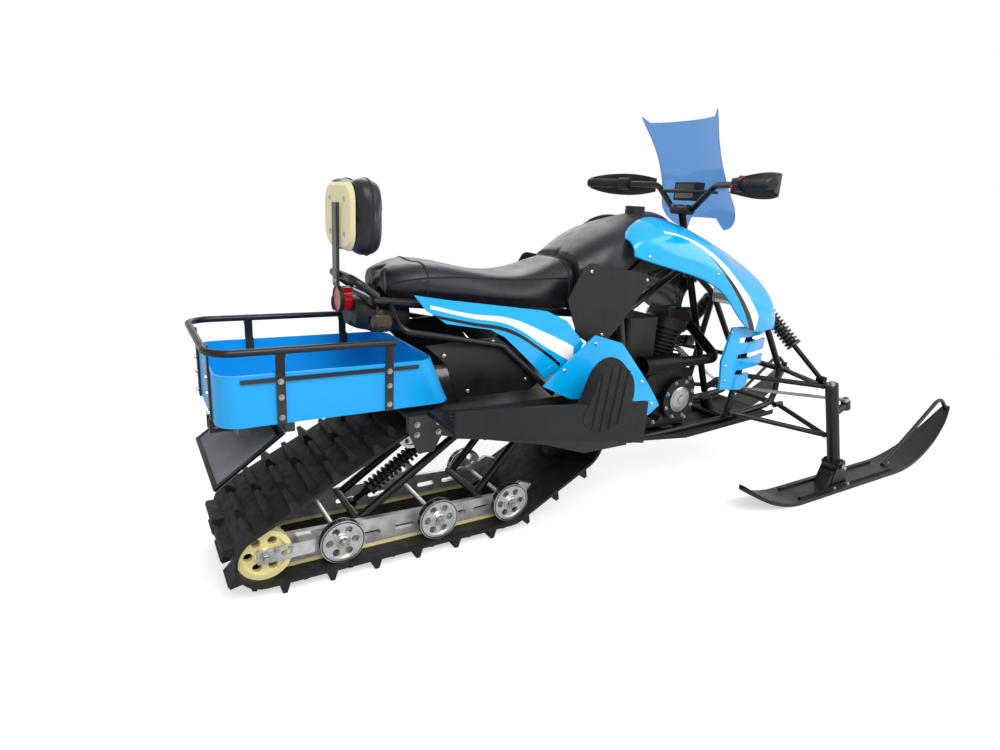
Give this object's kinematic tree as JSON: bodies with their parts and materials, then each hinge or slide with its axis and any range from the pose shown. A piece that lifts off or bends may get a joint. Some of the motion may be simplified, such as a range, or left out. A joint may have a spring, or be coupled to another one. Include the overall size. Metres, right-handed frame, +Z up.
{
  "type": "utility snowmobile with cargo tray and backrest",
  "caption": "Light blue and black utility snowmobile: rubber track under a slide rail frame, two steered skis, open engine, long seat with backrest, rear cargo tray.",
  "frame": {"origin": "on the floor, midway along the machine's overall length and width", "axes": "+X forward, +Y left, +Z up"},
  "size_m": [3.2033, 0.996, 1.3906],
  "materials": {
    "blue_plastic": "gloss",
    "black_plastic": "matt",
    "grey_plastic": "matt",
    "cream_plastic": "satin",
    "cream_nylon": "satin",
    "belt_rubber": "matt",
    "grip_rubber": "matt",
    "wheel_alloy": "satin",
    "rail_alloy": "satin",
    "engine_alloy": "satin",
    "black_paint": "semi-gloss",
    "dark_steel": "satin",
    "bright_steel": "satin",
    "seat_vinyl": "satin",
    "red_lens": "gloss",
    "lamp_lens": "gloss",
    "tinted_screen": "gloss"
  },
  "bodies": {
    "chassis": {"air_box": "black_plastic", "backrest_pad": "seat_vinyl", "backrest_shell": "cream_plastic", "belly_pan": "black_plastic", "bogie_wheels": "wheel_alloy", "cargo_tray": "blue_plastic", "chain_case": "dark_steel", "drive_axle": "dark_steel", "engine": "engine_alloy", "exhaust": "dark_steel", "foot_guards": "black_plastic", "footboards": "black_plastic", "front_shocks": "dark_steel", "front_shrouds": "blue_plastic", "fuel_cap": "black_plastic", "grab_rail": "black_paint", "hanger_brackets": "black_paint", "headlamp": "lamp_lens", "idler_wheels": "cream_nylon", "knee_panels": "blue_plastic", "main_frame": "black_paint", "nose_panel": "blue_plastic", "rear_rack": "black_paint", "rib_fairings": "blue_plastic", "seat": "seat_vinyl", "seat_frame": "black_paint", "side_covers": "black_plastic", "side_panels": "blue_plastic", "skid_arms": "black_paint", "skid_shock": "dark_steel", "slide_rails": "rail_alloy", "slide_strips": "cream_nylon", "snow_flap": "grey_plastic", "suspension_arms": "black_paint", "tail_cover": "black_plastic", "tail_lamp": "red_lens", "tank_cover": "black_plastic", "tank_pad": "seat_vinyl", "tank_skirts": "black_plastic", "tow_hitch": "black_paint", "track_belt": "belt_rubber", "tray_rails": "black_paint", "tunnel": "black_paint", "turn_signals": "lamp_lens"},
    "steering": {"steering_stem": "bright_steel", "handlebar": "black_paint", "hand_grips": "grip_rubber", "hand_controls": "black_plastic", "windshield": "tinted_screen", "hand_guards": "black_plastic", "instrument_pod": "black_plastic"},
    "spindle_left": {"spindle_left": "black_paint"},
    "spindle_right": {"spindle_right": "black_paint"},
    "tie_rod_left": {"tie_rod_left": "bright_steel"},
    "tie_rod_right": {"tie_rod_right": "bright_steel"},
    "ski_left": {"ski_left": "black_plastic"},
    "ski_right": {"ski_right": "black_plastic"}
  },
  "joints": [
    {"name": "steer", "type": "hinge", "parent": "chassis", "child": "steering", "pos_m": [0.21117, 0, 0.73], "axis": [-0.3584, 0, 0.9336], "range_deg": [-30, 30]},
    {"name": "kingpin_left", "type": "hinge", "parent": "chassis", "child": "spindle_left", "pos_m": [0.62834, 0.432, 0.27], "axis": [-0.3584, 0, 0.9336], "range_deg": [-30, 30]},
    {"name": "tie_rod_pin_left", "type": "hinge", "parent": "steering", "child": "tie_rod_left", "pos_m": [0.44501, 0, 0.36082], "axis": [-0.3584, 0, 0.9336], "range_deg": [-30, 30]},
    {"name": "ski_pivot_left", "type": "hinge", "parent": "spindle_left", "child": "ski_left", "pos_m": [0.69666, 0.432, 0.092], "axis": [0, 1, 0], "range_deg": [-12, 8]},
    {"name": "kingpin_right", "type": "hinge", "parent": "chassis", "child": "spindle_right", "pos_m": [0.62834, -0.432, 0.27], "axis": [-0.3584, 0, 0.9336], "range_deg": [-30, 30]},
    {"name": "tie_rod_pin_right", "type": "hinge", "parent": "steering", "child": "tie_rod_right", "pos_m": [0.44501, 0, 0.36082], "axis": [-0.3584, 0, 0.9336], "range_deg": [-30, 30]},
    {"name": "ski_pivot_right", "type": "hinge", "parent": "spindle_right", "child": "ski_right", "pos_m": [0.69666, -0.432, 0.092], "axis": [0, 1, 0], "range_deg": [-12, 8]}
  ],
  "couplings": [
    {"joint": "kingpin_left", "follows": "steer", "ratio": 1},
    {"joint": "tie_rod_pin_left", "follows": "steer", "ratio": -1},
    {"joint": "kingpin_right", "follows": "steer", "ratio": 1},
    {"joint": "tie_rod_pin_right", "follows": "steer", "ratio": -1}
  ]
}
